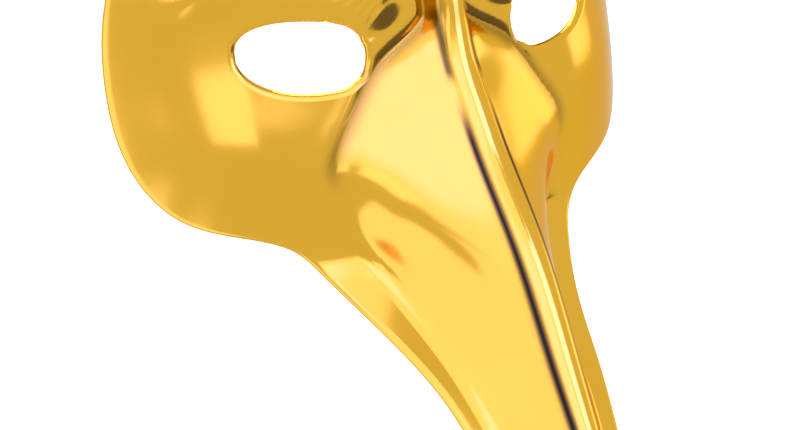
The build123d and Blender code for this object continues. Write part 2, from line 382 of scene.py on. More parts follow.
    def knot(self, x: np.ndarray, z: np.ndarray) -> np.ndarray:
        """Lift of the frown over the inner end of each eye: a low dome with a crease round it.

        The dome is a smooth step of the distance from its middle, the crease is a narrow bell at its
        edge, and slanting wrinkles are a sine across the dome, strongest at its middle.
        """
        off = np.abs(x) - self.knot_x
        rise = z - self.knot_z
        away = np.sqrt((off / self.knot_stretch) ** 2 + rise ** 2)
        dome = ease((self.knot_radius - away) / self.knot_radius * self.knot_steep)
        ends = ease((self.crease_reach - np.abs(off + rise)) / self.crease_fade)
        crease = np.exp(-((away - self.knot_radius) / self.crease_half) ** 2) * ends
        share_x, share_z = self.wrinkle_across
        across = (off * share_x + rise * share_z) * 2 * np.pi / self.wrinkle_pitch
        # Two slow waves bend the wrinkles, so that they don't look ruled.
        bend = 1.1 * np.sin(off * 0.55) + 0.7 * np.sin(rise * 0.9)
        wrinkles = self.wrinkle_height * dome * np.sin(across + bend)
        return self.knot_lift * dome - self.crease_deep * crease + wrinkles

    def depth(self, x: np.ndarray, z: np.ndarray) -> np.ndarray:
        """Depth of the outer skin: the blended lesser of the face and the beak.

        Args:
            x: Distances from the middle, in mm.
            z: Heights over the eye line, in mm.

        Returns:
            Depths in mm, less towards the front.
        """
        face = self.flank(x, z) - self.brow(x, z) - self.knot(x, z)
        return soft_min(face, self.raised(x, z), self.blend(z)) + self.groove_deep * self.groove(x, z)

    def groove(self, x: np.ndarray, z: np.ndarray) -> np.ndarray:
        """How far a place is into the groove beside the nose, from 0 to 1.

        A bell across the valley's line, which slants, so distance is measured square to it; it fades
        at the cheek and over the brows.
        """
        slant = (self.valley(z + 0.5) - self.valley(z - 0.5))
        across = (np.abs(x) - self.valley(z)) / np.sqrt(1 + slant ** 2)
        (foot_low, foot_high), (top_low, top_high) = self.groove_foot, self.groove_top
        fade = ease((z - foot_low) / (foot_high - foot_low)) * ease((top_high - z) / (top_high - top_low))
        return fade * np.exp(-(across / self.groove_half) ** 2)

    def painted_shade_share(self, x: np.ndarray, z: np.ndarray) -> np.ndarray:
        """How much painted shade darkens a place, from 0 to 1: in the groove and the crest's creases."""
        crease = (np.abs(x) - self.crest_width(z) - self.line_out) / self.line_half
        start_low, start_high = self.line_start
        tip_low, tip_high = self.line_tip
        low = ease((start_high - z) / (start_high - start_low))
        high = self.line_root_share * ease((z + 13) / 5) * ease((16 - z) / 8)
        strength = np.maximum(low, high) * ease((z - tip_low) / (tip_high - tip_low))
        return np.maximum(self.groove_painted_shade * self.groove(x, z), strength * np.exp(-np.abs(crease) ** 3))

    def normal(self, x: np.ndarray, z: np.ndarray, step: float = 0.1) -> np.ndarray:
        """Unit normals that point out of the face, from central differences of the depth."""
        across = (self.depth(x + step, z) - self.depth(x - step, z)) / (2 * step)
        up = (self.depth(x, z + step) - self.depth(x, z - step)) / (2 * step)
        return unit(np.stack([across, -np.ones_like(across), up], axis=-1))

    def skin(self, x: np.ndarray, z: np.ndarray) -> np.ndarray:
        """Points of the outer skin above the given places."""
        return np.stack([x, self.depth(x, z), z], axis=-1)


@dataclass
class MaskShell:
    """The moulded shell: outer skin, inner skin, and the curled edges that join them."""

    form: MaskForm
    wall: float = 1.3
    curl: float = 1.9
    rim_inset: float = 1.2
    eye_x: float = 43.7
    eye_z: float = 0.5
    eye_half_width: float = 19.8
    eye_half_height: float = 13.0
    eye_tilt: float = 0.11
    eye_square: float = 0.85
    eye_rings: int = 16
    curl_steps: int = 7
    # Free edge from the forehead corner round the cheek to the tip, as (x, z), with the height on
    # the centre line that each station's row starts from.
    rim: tuple = (
        (73, 51, 64), (82, 40, 54), (87.5, 25, 38), (90, 8, 20), (90.5, -8, 5), (89.8, -22, -10),
        (87, -35, -26), (81.5, -45, -41), (74, -50.5, -52), (64, -53.7, -61), (54, -57.6, -70),
        (46, -64.5, -79), (38.4, -76, -90), (32, -88, -101), (27.6, -100, -112), (24.5, -114, -125),
        (21, -131, -141), (16.5, -150, -158), (11, -171, -176), (6.5, -186, -189), (2.5, -196, -199))
    # The block of the grid round one eye: stations along the rim, and shares of the half width.
    block_rows: tuple = (2.6, 5.5)
    block_columns: tuple = (0.27, 0.79)
    row_counts: tuple = (22, 38, 90)
    crest_columns: tuple = (0.12, 0.15)
    column_counts: tuple = (12, 6, 14, 38, 20)

    def places(self, t: np.ndarray, s: np.ndarray) -> tuple[np.ndarray, np.ndarray]:
        """Distance from the middle and height for a station along the rim and a share of the width.

        The first shares span the crest's rounded width, so that one column lies along its crease,
        and the rest go evenly on to the rim. Height goes from the centre line's to the rim's with
        the square of the distance, so that rows bend with the mask's edge.

        Args:
            t: Stations along the rim.
            s: Shares of the half width, 0 at the middle and 1 at the rim.

        Returns:
            Distances and heights, in mm.
        """
        stations = list(enumerate(self.rim))
        rim_x = StationCurve([(k, row[0]) for k, row in stations])(t) - self.rim_inset
        rim_z = StationCurve([(k, row[1]) for k, row in stations])(t)
        centre = StationCurve([(k, row[2]) for k, row in stations])(t)
        rim_x = np.maximum(rim_x, 0.8)
        edge = np.minimum(self.form.crest_width(centre), rim_x / 2)
        turn = self.crest_columns[0]
        x = np.where(s < turn, edge * s / turn, edge + (rim_x - edge) * (s - turn) / (1 - turn))
        return x, centre + (rim_z - centre) * (x / rim_x) ** 2

    def grid(self) -> tuple[np.ndarray, np.ndarray, np.ndarray]:
        """Places of the half mask's main grid: rows from forehead to tip, columns out to the rim.

        Returns:
            Distances, heights, and how near each place is to the free edge, from 0 to 1.
        """
        last = len(self.rim) - 1
        t = stretches([0, *self.block_rows, last], list(self.row_counts))[:, None]
        s = stretches([0, *self.crest_columns, *self.block_columns, 1], list(self.column_counts))[None, :]
        x, z = self.places(t, s)
        near = np.maximum(ease((s - 0.7) / 0.3), np.maximum(ease(1 - t), ease(t + 1 - last)))
        return x, z, near

    def eye_outline(self, turn: np.ndarray) -> tuple[np.ndarray, np.ndarray]:
        """Places on the eye opening's edge, an oval with squared corners that rises outwards.

        Args:
            turn: Angles round the opening, in radians.

        Returns:
            Distances and heights, in mm.
        """
        across = self.eye_half_width * np.sign(np.cos(turn)) * np.abs(np.cos(turn)) ** self.eye_square
        up = self.eye_half_height * np.sign(np.sin(turn)) * np.abs(np.sin(turn)) ** self.eye_square
        return self.eye_x + across, self.eye_z + self.eye_tilt * across + up

    def eye_rings_grid(self, x: np.ndarray, z: np.ndarray) -> tuple[np.ndarray, np.ndarray]:
        """Rings from the eye opening out to the edge of its block in the main grid.

        Each ring is a mix of the opening's outline and the block's edge; the share of the edge
        rises slowly at first, so that the rings crowd at the opening.

        Args:
            x: Distances of the block's edge points, in order.
            z: Their heights.

        Returns:
            Distances and heights, one row for each ring.
        """
        turn = np.arctan2((z - self.eye_z) / self.eye_half_height, (x - self.eye_x) / self.eye_half_width)
        eye_x, eye_z = self.eye_outline(turn)
        share = (np.linspace(0, 1, self.eye_rings) ** 1.3)[:, None]
        return eye_x + (x - eye_x) * share, eye_z + (z - eye_z) * share

    def inner(self, x: np.ndarray, z: np.ndarray, near: np.ndarray) -> np.ndarray:
        """Points of the inner skin: the wall's thickness behind the outer one.

        Near the crest the offset runs straight back, so that the sharp ridge doesn't fold over; a
        few millimetres off the crest, and at the free edge, it runs along the normal.

        Args:
            x: Distances from the middle.
            z: Heights.
            near: How near each place is to the free edge, from 0 to 1.

        Returns:
            The points.
        """
        skin = self.form.skin(x, z)
        normal = self.form.normal(x, z)
        straight = np.zeros_like(skin)
        straight[..., 1] = -1 / normal[..., 1]
        share = np.maximum(ease((np.abs(x) - 4) / 5), near)[..., None]
        return skin + self.wall * (straight * (1 - share) - normal * share)

    def edge_strip(self, x: np.ndarray, z: np.ndarray, outwards: float) -> np.ndarray:
        """Curled edge along a closed loop of places, from the outer skin round to the inner skin.

        The edge turns a quarter circle back from the outer skin, half a circle round the wall's
        thickness, and a smaller quarter circle up to the inner skin. All three lie in the plane of
        the skin's normal and the direction away from the skin.

        Args:
            x: Distances of the loop's points, in order.
            z: Their heights.
            outwards: 1 or -1, whichever makes the loop's side direction point away from the skin.

        Returns:
            Array of loop points by steps round the edge by 3.
        """
        skin = self.form.skin(x, z)
        normal = self.form.normal(x, z)
        along = unit(np.roll(skin, -1, axis=0) - np.roll(skin, 1, axis=0))
        side = unit(np.cross(normal, along)) * outwards
        centre = skin - self.curl * normal
        quarter = np.linspace(0, math.pi / 2, self.curl_steps)
        half = np.linspace(0, math.pi, self.curl_steps + 2)[1:-1]
        small = self.curl - self.wall
        middle = (self.curl + small) / 2
        reach = [
            self.curl * np.sin(quarter), middle + self.wall / 2 * np.cos(half),
            small * np.sin(quarter[::-1])]
        rise = [self.curl * np.cos(quarter), -self.wall / 2 * np.sin(half), small * np.cos(quarter[::-1])]
        reach_all = np.concatenate(reach)[None, :, None]
        rise_all = np.concatenate(rise)[None, :, None]
        return centre[:, None, :] + side[:, None, :] * reach_all + normal[:, None, :] * rise_all

    def half(self) -> list[Patch]:
        """Patches of the wearer's left half, without the rim's curl.

        Returns:
            Outer and inner skins, and the eye opening's curled edge.
        """
        x, z, near = self.grid()
        row_0, row_1 = self.row_counts[0], sum(self.row_counts[:2])
        col_0, col_1 = sum(self.column_counts[:3]), sum(self.column_counts[:4])
        edge = [(slice(row_0, row_0 + 1), slice(col_0, col_1)), (slice(row_0, row_1), slice(col_1, col_1 + 1)),
                (slice(row_1, row_1 + 1), slice(col_1, col_0, -1)),
                (slice(row_1, row_0, -1), slice(col_0, col_0 + 1))]
        loop_x = np.concatenate([x[part].ravel() for part in edge])
        loop_z = np.concatenate([z[part].ravel() for part in edge])
        ring_x, ring_z = self.eye_rings_grid(loop_x, loop_z)
        keep = np.ones((x.shape[0] - 1, x.shape[1] - 1), dtype=bool)
        keep[row_0:row_1, col_0:col_1] = False
        patches = []
        skins = ((self.form.skin(x, z), self.form.skin(ring_x, ring_z)),
                 (self.inner(x, z, near), self.inner(ring_x, ring_z, np.zeros_like(ring_x))))
        for slot, (main_points, ring_points) in enumerate(skins):
            main = Patch.from_grid(main_points, slot, flip=slot == 0)
            patches.append(Patch(main.points, main.quads[keep.ravel()], main.slot[keep.ravel()]))
            patches.append(Patch.from_grid(ring_points, slot, closed=True, flip=slot == 1))
        lip = self.edge_strip(ring_x[0], ring_z[0], -1.0)
        patches.append(Patch.from_grid(np.concatenate([lip, lip[:1]]), 0))
        return patches

    def rim_strip(self) -> Patch:
        """The curl round the mask's whole free edge."""
        x, z, _ = self.grid()
        loop_x = np.concatenate([x[0, :-1], x[:-1, -1], x[-1, :0:-1]])
        loop_z = np.concatenate([z[0, :-1], z[:-1, -1], z[-1, :0:-1]])
        loop_x = np.concatenate([loop_x, -np.append(x[-1, 0], loop_x[:0:-1])])
        loop_z = np.concatenate([loop_z, np.append(z[-1, 0], loop_z[:0:-1])])
        strip = self.edge_strip(loop_x, loop_z, 1.0)
        return Patch.from_grid(np.concatenate([strip, strip[:1]]), 0, flip=True)

    def build(self, materials: list[bpy.types.Material]) -> bpy.types.Object:
        """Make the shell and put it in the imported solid's place.

        Args:
            materials: Finishes of the outer and the inner skin.

        Returns:
            The shell's object.
        """
        half = self.half()
        patch = weld(half + [part.mirrored() for part in half] + [self.rim_strip()])
        piece = make_piece("shell", patch, materials)
        # Painted shade in the groove and the crest's creases, stored on the points for the gold's colour.
        painted_crease_shade = self.form.painted_shade_share(patch.points[:, 0], patch.points[:, 2])
        layer = piece.data.attributes.new("painted_crease_shade", "FLOAT", "POINT")
        layer.data.foreach_set("value", painted_crease_shade.astype(np.float32))
        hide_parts("mask_shell")
        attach(piece, "root")
        return piece


# ---- Pads and strap ---------------------------------------------------------------------------


@dataclass
class FoamPad:
    """A die-cut foam pad on the inside of the shell, its face cloth drawn down round the edge."""

    name: str
    node: str
    shell: MaskShell
    side: Side
    rows: tuple[float, float]
    shares: tuple[float, float]
    gap: float = 0.15
    thickness: float = 3.9
    steps: tuple[int, int] = (40, 60)
    corner: float = 7.0

    def outline(self) -> tuple[np.ndarray, np.ndarray]:
        """Places over the pad: a square grid pressed into a rounded rectangle.

        A point of the square at (a, b) goes to the same direction on a squircle, so that the
        corners are round and no cell folds.
        """
        a = np.sin(np.linspace(-math.pi / 2, math.pi / 2, self.steps[0]))[:, None]
        b = np.sin(np.linspace(-math.pi / 2, math.pi / 2, self.steps[1]))[None, :]
        wide = b * np.sqrt(1 - 0.28 * a ** self.corner_power)
        tall = a * np.sqrt(1 - 0.28 * b ** self.corner_power)
        t = (self.rows[0] + self.rows[1]) / 2 + (self.rows[1] - self.rows[0]) / 2 * tall
        s = (self.shares[0] + self.shares[1]) / 2 + (self.shares[1] - self.shares[0]) / 2 * wide
        return t, s

    @property
    def corner_power(self) -> int:
        """Even power that keeps the pad's corners tight."""
        return 8

    def build(self, material: bpy.types.Material) -> bpy.types.Object:
        """Make the pad: back against the shell, front crowned, edges drawn in to a quarter round.

        Args:
            material: Face cloth.

        Returns:
            The pad's object.
        """
        t, s = self.outline()
        width = np.abs(s)
        x, z = self.shell.places(t, width)
        x = x * np.where(s < 0, -1, 1) * self.side.value
        skin = self.shell.form.skin(x, z)
        normal = self.shell.form.normal(x, z)
        across, down = np.meshgrid(np.linspace(-1, 1, self.steps[1]), np.linspace(-1, 1, self.steps[0]))
        rim = np.sqrt(np.maximum(np.cos(math.pi / 2 * across ** 8) * np.cos(math.pi / 2 * down ** 6), 0))
        crown = 1 - 0.12 * (across ** 2 + down ** 2) / 2
        back = skin - normal * (self.shell.wall + self.gap)
        front = back - normal * (self.thickness * rim * crown)[..., None]
        flip = self.side is Side.LEFT
        patches = [Patch.from_grid(front, 0, flip=not flip), Patch.from_grid(back, 0, flip=flip)]
        edges = [(front[0], back[0]), (front[:, -1], back[:, -1]), (front[-1, ::-1], back[-1, ::-1]),
                 (front[::-1, 0], back[::-1, 0])]
        for upper, lower in edges:
            patches.append(Patch.from_grid(np.stack([upper, lower]), 0, flip=flip))
        piece = make_piece(self.name, weld(patches), [material])
        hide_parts(self.node)
        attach(piece, "root")
        return piece


@dataclass
class HeadStrap:
    """Woven elastic from one rivet round the back of the head to the other, in one length."""

    form: MaskForm
    width: float = 12.0
    thickness: float = 1.1
    heel: float = 7.0
    flat: float = 7.0
    bend: float = 5.0
    seat: float = 2.7
    ribs: int = 14
    rib_height: float = 0.07
    height: float = 31.0
    steps: int = 420
    around: int = 44

    def centre_line(self) -> np.ndarray:
        """The strap's centre line seen from above, from the wearer's left heel to the right one.

        Flat along the temple, an arc back, a straight run that shifts by the tab's lap to the
        band's line, then half an ellipse. The right half is the mirror of the left.

        Returns:
            Points (x, y) in mm, evenly spaced.
        """
        rivet_low, rivet_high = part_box("rivet_left")
        band_low, band_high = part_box("strap_band")
        tab_low, tab_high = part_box("strap_tab_left")
        rivet = (np.array(rivet_low) + np.array(rivet_high)) / 2 / MM
        normal = self.form.normal(rivet[0], np.array(self.height))
        out = unit(np.array([normal[0], normal[1]]))
        back = np.array([-out[1], out[0]])
        on_skin = np.array([rivet[0], float(self.form.depth(rivet[0], np.array(self.height)))])
        tail_x = tab_high[0] / MM - self.thickness / 2
        start = on_skin - out * (self.seat + self.thickness / 2)
        corner = start + back * (tail_x - start[0]) / back[0]
        band_x = band_high[0] / MM - self.thickness / 2
        turn_y = self.turn_depth(band_high[1] / MM, band_low[1] / MM)
        ends_y = band_high[1] / MM - self.thickness / 2
        run = np.linspace(0, 1, 60)
        shift = tail_x + (band_x - tail_x) * ease(run * 4)
        turn = np.linspace(0, math.pi / 2, 90)
        near = corner[1] + self.bend * 0.6
        left = [start - back * self.heel + back * (self.heel + self.flat - 2) * run[:, None],
                np.stack([shift, near + (turn_y - near) * run], -1),
                np.stack([band_x * np.cos(turn), turn_y + (ends_y - turn_y) * np.sin(turn)], -1)]
        line = np.concatenate(left)
        line = np.concatenate([line, line[-2::-1] * np.array([-1, 1])])
        return self.spread(line, self.steps)

    def turn_depth(self, back: float, front: float) -> float:
        """Where the straight runs end: 45 per cent of the loop's depth ahead of its back."""
        return back - 0.45 * (back - front)

    def spread(self, line: np.ndarray, count: int) -> np.ndarray:
        """Points evenly spaced along a line, after its corners are rounded by a running mean.

        Args:
            line: Points, in order.
            count: How many to return.

        Returns:
            The points.
        """
        length = np.concatenate([[0], np.cumsum(np.linalg.norm(np.diff(line, axis=0), axis=1))])
        fine = np.linspace(0, length[-1], count * 4)
        points = np.stack([np.interp(fine, length, line[:, k]) for k in (0, 1)], -1)
        reach = max(int(self.bend / (length[-1] / len(fine))), 1)
        before = 2 * points[:1] - points[reach:0:-1]
        after = 2 * points[-1:] - points[-2:-reach - 2:-1]
        padded = np.concatenate([before, points, after])
        kernel = np.hanning(2 * reach + 1)
        kernel = kernel / kernel.sum()
        smooth = np.stack([np.convolve(padded[:, k], kernel, mode="valid") for k in (0, 1)], -1)
        return smooth[::4]

    def build(self, material: bpy.types.Material) -> bpy.types.Object:
        """Make the strap: its section, a flat oblong with ribs along both faces, carried along the line.

        The section is a superellipse twelve millimetres high; each face is lifted by a small cosine
        of the height, which makes the ribs. The map runs with the length in one direction and round
        the section in the other.

        Args:
            material: Woven elastic.

        Returns:
            The strap's object.
        """
        line = self.centre_line()
        along = unit(np.gradient(line, axis=0))
        side = np.stack([along[:, 1], -along[:, 0]], -1)
        turn = np.linspace(0, 2 * math.pi, self.around, endpoint=False)
        up = self.width / 2 * np.sign(np.sin(turn)) * np.abs(np.sin(turn)) ** 0.35
        out = self.thickness / 2 * np.sign(np.cos(turn)) * np.abs(np.cos(turn)) ** 0.35
        out = out + np.sign(out) * self.rib_height * (np.cos(2 * math.pi * self.ribs * up / self.width) - 1) / 2
        points = np.concatenate([
            line[:, None, :] + side[:, None, :] * out[None, :, None],
            np.broadcast_to((self.height + up)[None, :, None], (len(line), self.around, 1))], -1)
        body = Patch.from_grid(points, 0, closed=True)
        caps = [Patch.from_grid(self.cap(points[0])), Patch.from_grid(self.cap(points[-1]), flip=True)]
        piece = make_piece("head_strap", weld([body] + caps), [material])
        self.map_length(piece)
        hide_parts("strap_tab_left", "strap_tab_right", "strap_band")
        return piece

    def cap(self, ring: np.ndarray) -> np.ndarray:
        """Grid that closes an end: the ring's first half against its second half, joined crosswise."""
        half = self.around // 2
        upper = ring[:half + 1]
        lower = np.concatenate([ring[half:], ring[:1]])[::-1]
        share = np.linspace(0, 1, 4)[:, None, None]
        return upper[None] * (1 - share) + lower[None] * share

    def map_length(self, piece: bpy.types.Object) -> None:
        """Store each point's length along the strap and its height as a map, in metres, for the weave.

        The first number is the length along the centre line to the nearest of every other point on it, which
        grows evenly along the strap; the second is the height.
        """
        mesh = piece.data
        points = np.empty(len(mesh.vertices) * 3, dtype=np.float32)
        mesh.vertices.foreach_get("co", points)
        points = points.reshape(-1, 3)
        line = self.centre_line() * MM
        length = np.concatenate([[0], np.cumsum(np.linalg.norm(np.diff(line, axis=0), axis=1))])
        gap = ((points[:, None, :2] - line[None, ::2]) ** 2).sum(-1)
        along = length[::2][np.argmin(gap, axis=1)].astype(np.float32)
        loops = np.empty(len(mesh.loops), dtype=np.int32)
        mesh.loops.foreach_get("vertex_index", loops)
        layer = mesh.uv_layers.new(name="weave")
        layer.data.foreach_set("uv", np.stack([along[loops], points[loops, 2]], -1).astype(np.float32).ravel())


# ---- Finishes ---------------------------------------------------------------------------------


def linear(colour: str) -> tuple[float, float, float, float]:
    """Linear colour with full alpha from an sRGB hex value such as "#d9a32e"."""
    parts = [int(colour[k:k + 2], 16) / 255 for k in (1, 3, 5)]
    curved = [part / 12.92 if part <= 0.04045 else ((part + 0.055) / 1.055) ** 2.4 for part in parts]
    return curved[0], curved[1], curved[2], 1.0


def add_node(tree: bpy.types.NodeTree, kind: str, settings: dict | None = None,
             inputs: dict | None = None) -> bpy.types.Node:
    """Add a node with its settings, and set or link its inputs.

    Args:
        tree: The material's or world's node tree.
        kind: Node type, without its prefix where it is a shader node.
        settings: Node properties by name.
        inputs: Input values by name or number; an output socket is linked.

    Returns:
        The node.
    """
    node = tree.nodes.new("ShaderNode" + kind)
    for key, value in (settings or {}).items():
        setattr(node, key, value)
    for key, value in (inputs or {}).items():
        if isinstance(value, bpy.types.NodeSocket):
            tree.links.new(value, node.inputs[key])
        else:
            node.inputs[key].default_value = value
    return node


def new_material(name: str) -> tuple[bpy.types.Material, bpy.types.NodeTree]:
    """A material with an empty node tree."""
    material = bpy.data.materials.new(name)
    material.use_nodes = True
    material.node_tree.nodes.clear()
    return material, material.node_tree


def finish_surface(tree: bpy.types.NodeTree, inputs: dict) -> None:
    """End a material with a Principled surface that has the given inputs."""
    surface = add_node(tree, "BsdfPrincipled", inputs=inputs)
    add_node(tree, "OutputMaterial", inputs={"Surface": surface.outputs["BSDF"]})


@dataclass(frozen=True)
class MetallisedGold:
    """Vacuum-metallised plastic under gold lacquer, moulded: a mirror with a very fine grain.

    Aluminium flashed on to polished moulding reflects sharply, and the tinted lacquer over it turns
    it gold; the moulding's orange peel and fine grain spread each highlight a little.
    """

    lacquer: str = "#ffc63a"
    lacquer_deep: str = "#fbbf35"
    # Near-black colour painted into the groove and the crest's creases as shade.
    painted_shade_colour: str = "#150a00"
    grazing: str = "#ffd978"
    roughness: float = 0.12
    grain_mm: float = 0.45
    grain_height_mm: float = 0.007
    peel_mm: float = 9.0
    peel_height_mm: float = 0.02

    def build(self) -> bpy.types.Material:
        """Make the material."""
        material, tree = new_material("metallised_gold")
        place = add_node(tree, "TexCoord").outputs["Object"]
        grain = add_node(tree, "TexNoise", {"noise_dimensions": "3D"}, {
            "Vector": place, "Scale": 1 / (self.grain_mm * MM), "Detail": 2.0, "Roughness": 0.6})
        peel = add_node(tree, "TexNoise", {"noise_dimensions": "3D"}, {
            "Vector": place, "Scale": 1 / (self.peel_mm * MM), "Detail": 1.0})
        cloud = add_node(tree, "TexNoise", {"noise_dimensions": "3D"}, {
            "Vector": place, "Scale": 1 / (26 * MM), "Detail": 3.0})
        even = add_node(tree, "Mix", {"data_type": "RGBA"}, {
            "Factor": cloud.outputs["Fac"], "A": linear(self.lacquer), "B": linear(self.lacquer_deep)})
        # Painted shade: the gold's colour is darkened towards near black in the groove and the crest's creases,
        # by the stored share.
        painted_crease_shade = add_node(tree, "Attribute", {"attribute_name": "painted_crease_shade"})
        tint = add_node(tree, "Mix", {"data_type": "RGBA"}, {
            "Factor": painted_crease_shade.outputs["Fac"], "A": even.outputs["Result"], "B": linear(self.painted_shade_colour)})
        rough = add_node(tree, "MapRange", inputs={
            "Value": grain.outputs["Fac"], "From Min": 0.3, "From Max": 0.7,
            "To Min": self.roughness - 0.03, "To Max": self.roughness + 0.05})
        fine = add_node(tree, "Bump", inputs={
            "Height": grain.outputs["Fac"], "Distance": self.grain_height_mm * MM, "Strength": 1.0})
        wave = add_node(tree, "Bump", inputs={
            "Height": peel.outputs["Fac"], "Distance": self.peel_height_mm * MM, "Strength": 1.0,
            "Normal": fine.outputs["Normal"]})
        finish_surface(tree, {
            "Base Color": tint.outputs["Result"], "Metallic": 1.0, "Roughness": rough.outputs["Result"],
            "Specular Tint": linear(self.grazing), "Coat Weight": 0.3, "Coat Roughness": 0.08,
            "Coat IOR": 1.5, "Normal": wave.outputs["Normal"]})
        return material


@dataclass(frozen=True)
class InnerSkin:
    """Inside of the shell: the same moulding, thinly metallised, so duller and a little brown."""

    colour: str = "#b98f3c"
    roughness: float = 0.38

    def build(self) -> bpy.types.Material:
        """Make the material."""
        material, tree = new_material("shell_inner_skin")
        place = add_node(tree, "TexCoord").outputs["Object"]
        grain = add_node(tree, "TexNoise", inputs={"Vector": place, "Scale": 1 / (0.7 * MM), "Detail": 3.0})
        cloud = add_node(tree, "TexNoise", inputs={"Vector": place, "Scale": 1 / (18 * MM), "Detail": 3.0})
        shade = add_node(tree, "Mix", {"data_type": "RGBA"}, {
            "Factor": cloud.outputs["Fac"], "A": linear("#8f6a26"), "B": linear(self.colour)})
        bump = add_node(tree, "Bump", inputs={
            "Height": grain.outputs["Fac"], "Distance": 0.02 * MM, "Strength": 1.0})
        rough = add_node(tree, "MapRange", inputs={
            "Value": cloud.outputs["Fac"], "To Min": self.roughness - 0.06, "To Max": self.roughness + 0.1})
        finish_surface(tree, {
            "Base Color": shade.outputs["Result"], "Metallic": 0.75, "Roughness": rough.outputs["Result"],
            "Normal": bump.outputs["Normal"]})
        return material


@dataclass(frozen=True)
class WovenElastic:
    """Black braided elastic: polyester yarn over rubber cores, ribbed lengthwise, matt with a sheen."""

    yarn: str = "#1c1b1d"
    pick_mm: float = 0.55

    def build(self) -> bpy.types.Material:
        """Make the material."""
        material, tree = new_material("woven_elastic")
        place = add_node(tree, "UVMap", {"uv_map": "weave"}).outputs["UV"]
        picks = add_node(tree, "TexWave", {"wave_type": "BANDS", "bands_direction": "X"}, {
            "Vector": place, "Scale": 1 / (self.pick_mm * MM) / 6.28, "Distortion": 0.6, "Detail": 1.0})
        ribs = add_node(tree, "TexWave", {"wave_type": "BANDS", "bands_direction": "Y"}, {
            "Vector": place, "Scale": 14 / (12 * MM) / 6.28 * 3.14, "Distortion": 0.2})
        height = add_node(tree, "Math", {"operation": "MULTIPLY"}, {
            0: picks.outputs["Fac"], 1: ribs.outputs["Fac"]})
        fuzz = add_node(tree, "TexNoise", inputs={"Vector": place, "Scale": 1 / (0.3 * MM), "Detail": 3.0})
        shade = add_node(tree, "Mix", {"data_type": "RGBA"}, {
            "Factor": height.outputs["Value"], "A": linear("#0c0b0d"), "B": linear("#333136")})
        bump = add_node(tree, "Bump", inputs={
            "Height": height.outputs["Value"], "Distance": 0.12 * MM, "Strength": 0.8})
        bump_fuzz = add_node(tree, "Bump", inputs={
            "Height": fuzz.outputs["Fac"], "Distance": 0.04 * MM, "Strength": 0.6,
            "Normal": bump.outputs["Normal"]})
        finish_surface(tree, {
            "Base Color": shade.outputs["Result"], "Roughness": 0.78, "Sheen Weight": 0.25,
            "Sheen Roughness": 0.4, "Normal": bump_fuzz.outputs["Normal"]})
        return material


@dataclass(frozen=True)
class PadCloth:
    """Black brushed nylon laminated to soft foam: matt, with a short nap."""

    nap: str = "#242327"

    def build(self) -> bpy.types.Material:
        """Make the material."""
        material, tree = new_material("pad_cloth")
        place = add_node(tree, "TexCoord").outputs["Object"]
        nap = add_node(tree, "TexNoise", inputs={"Vector": place, "Scale": 1 / (0.5 * MM), "Detail": 4.0})
        knit = add_node(tree, "TexVoronoi", inputs={"Vector": place, "Scale": 1 / (0.8 * MM)})
        shade = add_node(tree, "Mix", {"data_type": "RGBA"}, {
            "Factor": nap.outputs["Fac"], "A": linear("#131215"), "B": linear(self.nap)})
        bump = add_node(tree, "Bump", inputs={
            "Height": knit.outputs["Distance"], "Distance": 0.15 * MM, "Strength": 0.5})
        finish_surface(tree, {
            "Base Color": shade.outputs["Result"], "Roughness": 0.9, "Sheen Weight": 0.5,
            "Sheen Roughness": 0.5, "Normal": bump.outputs["Normal"]})
        return material


@dataclass(frozen=True)
class PlatedRivet:
    """Brass-plated steel rivet, pressed: bright, with a few scuffs."""

    plate: str = "#d8b25a"

    def build(self) -> bpy.types.Material:
        """Make the material."""
        material, tree = new_material("plated_rivet")
        place = add_node(tree, "TexCoord").outputs["Object"]
        scuff = add_node(tree, "TexNoise", inputs={"Vector": place, "Scale": 1 / (1.1 * MM), "Detail": 5.0})
        shade = add_node(tree, "Mix", {"data_type": "RGBA"}, {
            "Factor": scuff.outputs["Fac"], "A": linear("#b58b35"), "B": linear(self.plate)})
        rough = add_node(tree, "MapRange", inputs={
            "Value": scuff.outputs["Fac"], "To Min": 0.16, "To Max": 0.4})
        bump = add_node(tree, "Bump", inputs={
            "Height": scuff.outputs["Fac"], "Distance": 0.02 * MM, "Strength": 0.5})
        finish_surface(tree, {
            "Base Color": shade.outputs["Result"], "Metallic": 1.0, "Roughness": rough.outputs["Result"],
            "Normal": bump.outputs["Normal"]})
        return material


@dataclass(frozen=True)
class MouldedNylon:
    """Black acetal adjuster, injection-moulded: satin with the mould's spark-eroded grain."""

    colour: str = "#1b1b1c"

    def build(self) -> bpy.types.Material:
        """Make the material."""
        material, tree = new_material("moulded_nylon")
        place = add_node(tree, "TexCoord").outputs["Object"]
        grain = add_node(tree, "TexNoise", inputs={"Vector": place, "Scale": 1 / (0.25 * MM), "Detail": 2.0})
        rough = add_node(tree, "MapRange", inputs={
            "Value": grain.outputs["Fac"], "To Min": 0.36, "To Max": 0.52})
        bump = add_node(tree, "Bump", inputs={
            "Height": grain.outputs["Fac"], "Distance": 0.02 * MM, "Strength": 0.7})
        shade = add_node(tree, "Mix", {"data_type": "RGBA"}, {
            "Factor": grain.outputs["Fac"], "A": linear("#141415"), "B": linear(self.colour)})
        finish_surface(tree, {
            "Base Color": shade.outputs["Result"], "Roughness": rough.outputs["Result"], "IOR": 1.48,
            "Normal": bump.outputs["Normal"]})
        return material


# ---- Stage ------------------------------------------------------------------------------------


